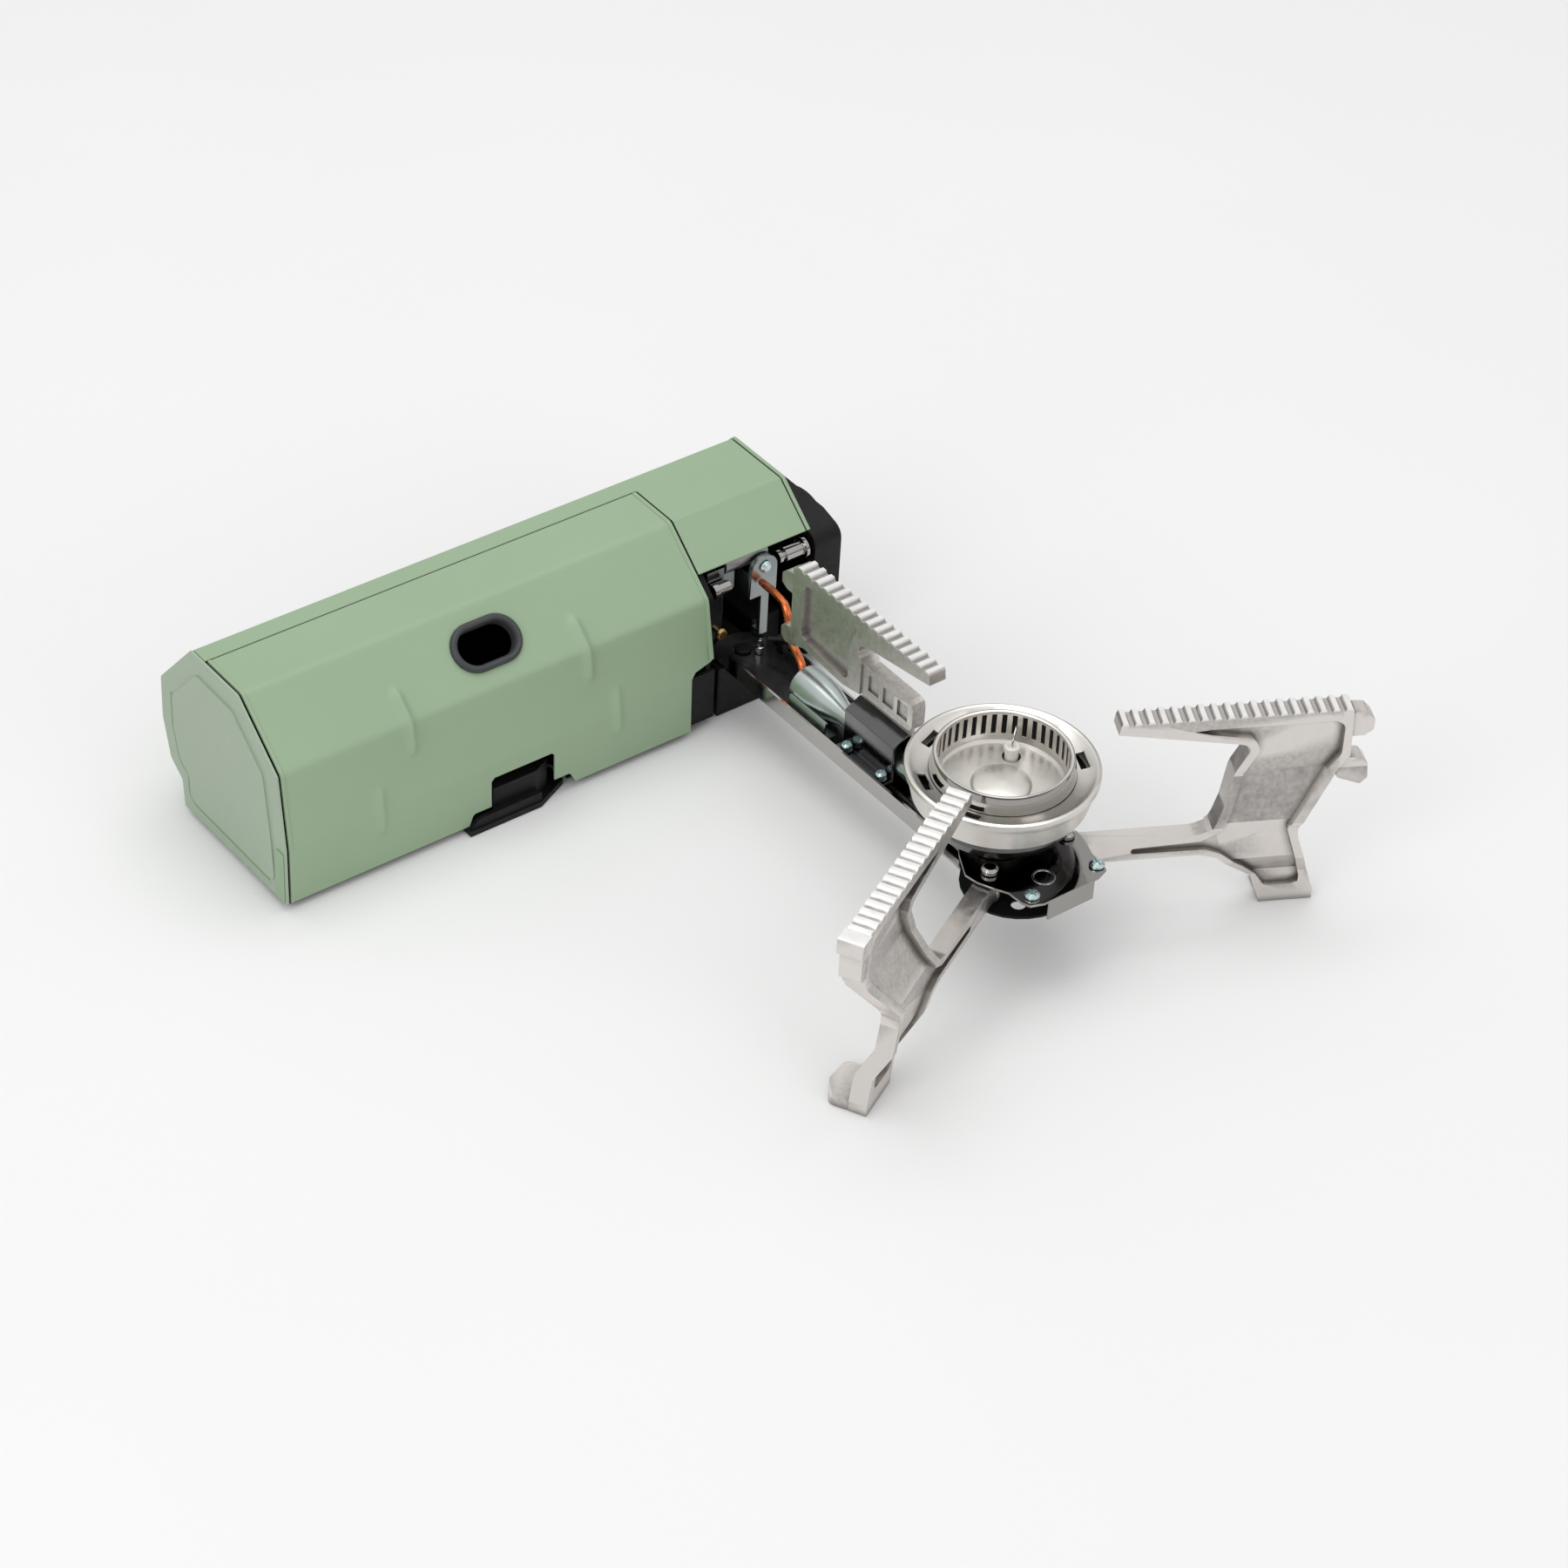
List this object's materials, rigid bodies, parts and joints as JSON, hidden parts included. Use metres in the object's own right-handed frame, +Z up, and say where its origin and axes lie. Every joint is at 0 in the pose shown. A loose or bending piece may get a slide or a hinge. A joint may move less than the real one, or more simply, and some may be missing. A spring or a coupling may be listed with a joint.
{
  "type": "canister stove",
  "caption": "Folding cassette gas stove: prism-shaped canister housing with hinged cover, side arm with a round burner, and toothed fold-out pot legs.",
  "frame": {"origin": "middle of the whole stove's outer box, on the ground", "axes": "+X along the canister housing towards the gas knob, +Y from the burner towards the housing, +Z up"},
  "size_m": [0.336, 0.2963, 0.088],
  "materials": {
    "fixed_shell": "sage green semi-matt paint",
    "end_cap": "sage green semi-matt paint",
    "cover": "sage green semi-matt paint",
    "window_grommet": "matt",
    "hinge_rod": "bright",
    "canister_cradle": "bright",
    "magnet_front": "bright",
    "magnet_back": "bright",
    "safety_valve": "bright",
    "cover_catch": "bright",
    "base_tray": "black",
    "foot_centre": "black",
    "bulkhead": "black",
    "pivot_block": "black",
    "piezo_igniter": "black",
    "end_cover": "black",
    "foot_left": "black",
    "foot_right": "black",
    "foot_back_left": "black",
    "foot_back_right": "black",
    "docking_disc": "dark",
    "regulator_bonnet": "dark",
    "outlet_strap": "dark",
    "works_plate": "dark",
    "regulator_body": "zinc plated",
    "outlet_tab": "zinc plated",
    "tab_screw": "zinc plated",
    "pivot_pin": "zinc plated",
    "inlet_nozzle": "turned",
    "catch_screw": "turned",
    "control_knob": "black",
    "valve_stem": "turned",
    "arm_channel": "polished stainless",
    "burner_ring": "polished stainless",
    "burner_cup": "polished stainless",
    "burner_dome": "polished stainless",
    "burner_pan": "polished stainless",
    "burner_seat": "polished stainless",
    "bracket_top": "polished stainless",
    "hinge_pin_two": "polished stainless",
    "hinge_pin_three": "polished stainless",
    "electrode_tip": "polished stainless",
    "mixing_tube": "zinc plated",
    "tube_saddle": "zinc plated",
    "arm_screw_inner": "zinc plated",
    "arm_screw_outer": "zinc plated",
    "bracket_screw_left": "zinc plated",
    "bracket_screw_right": "zinc plated",
    "tube_cover": "dark polished",
    "bracket_floor": "dark polished",
    "jet_holder": "turned",
    "gas_pipe": "copper",
    "tube_elbow": "as cast, satin",
    "leg_one": "as cast, satin",
    "electrode_insulator": "white glazed ceramic",
    "ignition_wire": "black",
    "leg_two": "as cast, satin",
    "leg_three": "as cast, satin"
  },
  "bodies": {
    "housing": {"fixed_shell": "fixed_shell", "end_cap": "end_cap", "hinge_rod": "hinge_rod", "canister_cradle": "canister_cradle", "magnet_front": "magnet_front", "magnet_back": "magnet_back", "safety_valve": "safety_valve", "cover_catch": "cover_catch", "base_tray": "base_tray", "foot_centre": "foot_centre", "bulkhead": "bulkhead", "pivot_block": "pivot_block", "piezo_igniter": "piezo_igniter", "end_cover": "end_cover", "foot_left": "foot_left", "foot_right": "foot_right", "foot_back_left": "foot_back_left", "foot_back_right": "foot_back_right", "docking_disc": "docking_disc", "regulator_bonnet": "regulator_bonnet", "outlet_strap": "outlet_strap", "works_plate": "works_plate", "regulator_body": "regulator_body", "outlet_tab": "outlet_tab", "tab_screw": "tab_screw", "pivot_pin": "pivot_pin", "inlet_nozzle": "inlet_nozzle", "catch_screw": "catch_screw"},
    "cover": {"cover": "cover", "window_grommet": "window_grommet"},
    "knob": {"control_knob": "control_knob", "valve_stem": "valve_stem"},
    "arm": {"arm_channel": "arm_channel", "burner_ring": "burner_ring", "burner_cup": "burner_cup", "burner_dome": "burner_dome", "burner_pan": "burner_pan", "burner_seat": "burner_seat", "bracket_top": "bracket_top", "hinge_pin_two": "hinge_pin_two", "hinge_pin_three": "hinge_pin_three", "electrode_tip": "electrode_tip", "mixing_tube": "mixing_tube", "tube_saddle": "tube_saddle", "arm_screw_inner": "arm_screw_inner", "arm_screw_outer": "arm_screw_outer", "bracket_screw_left": "bracket_screw_left", "bracket_screw_right": "bracket_screw_right", "tube_cover": "tube_cover", "bracket_floor": "bracket_floor", "jet_holder": "jet_holder", "gas_pipe": "gas_pipe", "tube_elbow": "tube_elbow", "leg_one": "leg_one", "electrode_insulator": "electrode_insulator", "ignition_wire": "ignition_wire"},
    "leg_two": {"leg_two": "leg_two"},
    "leg_three": {"leg_three": "leg_three"}
  },
  "joints": [
    {"name": "cover_hinge", "type": "hinge", "parent": "housing", "child": "cover", "pos_m": [-0.07044, 0.11761, 0.0803], "axis": [-1, 0, 0], "range_deg": [0, 100]},
    {"name": "arm_swing", "type": "hinge", "parent": "housing", "child": "arm", "pos_m": [0.04556, 0.07231, 0.024], "axis": [0, 0, 1], "range_deg": [-14, 0]},
    {"name": "leg_two_fold", "type": "hinge", "parent": "arm", "child": "leg_two", "pos_m": [0.02756, -0.09849, 0.034], "axis": [0, 0, -1], "range_deg": [0, 114]},
    {"name": "leg_three_fold", "type": "hinge", "parent": "arm", "child": "leg_three", "pos_m": [0.06356, -0.09849, 0.034], "axis": [0, 0, 1], "range_deg": [0, 114]},
    {"name": "knob_turn", "type": "hinge", "parent": "housing", "child": "knob", "pos_m": [0.09246, 0.10681, 0.041], "axis": [1, 0, 0], "range_deg": [0, 120]}
  ]
}
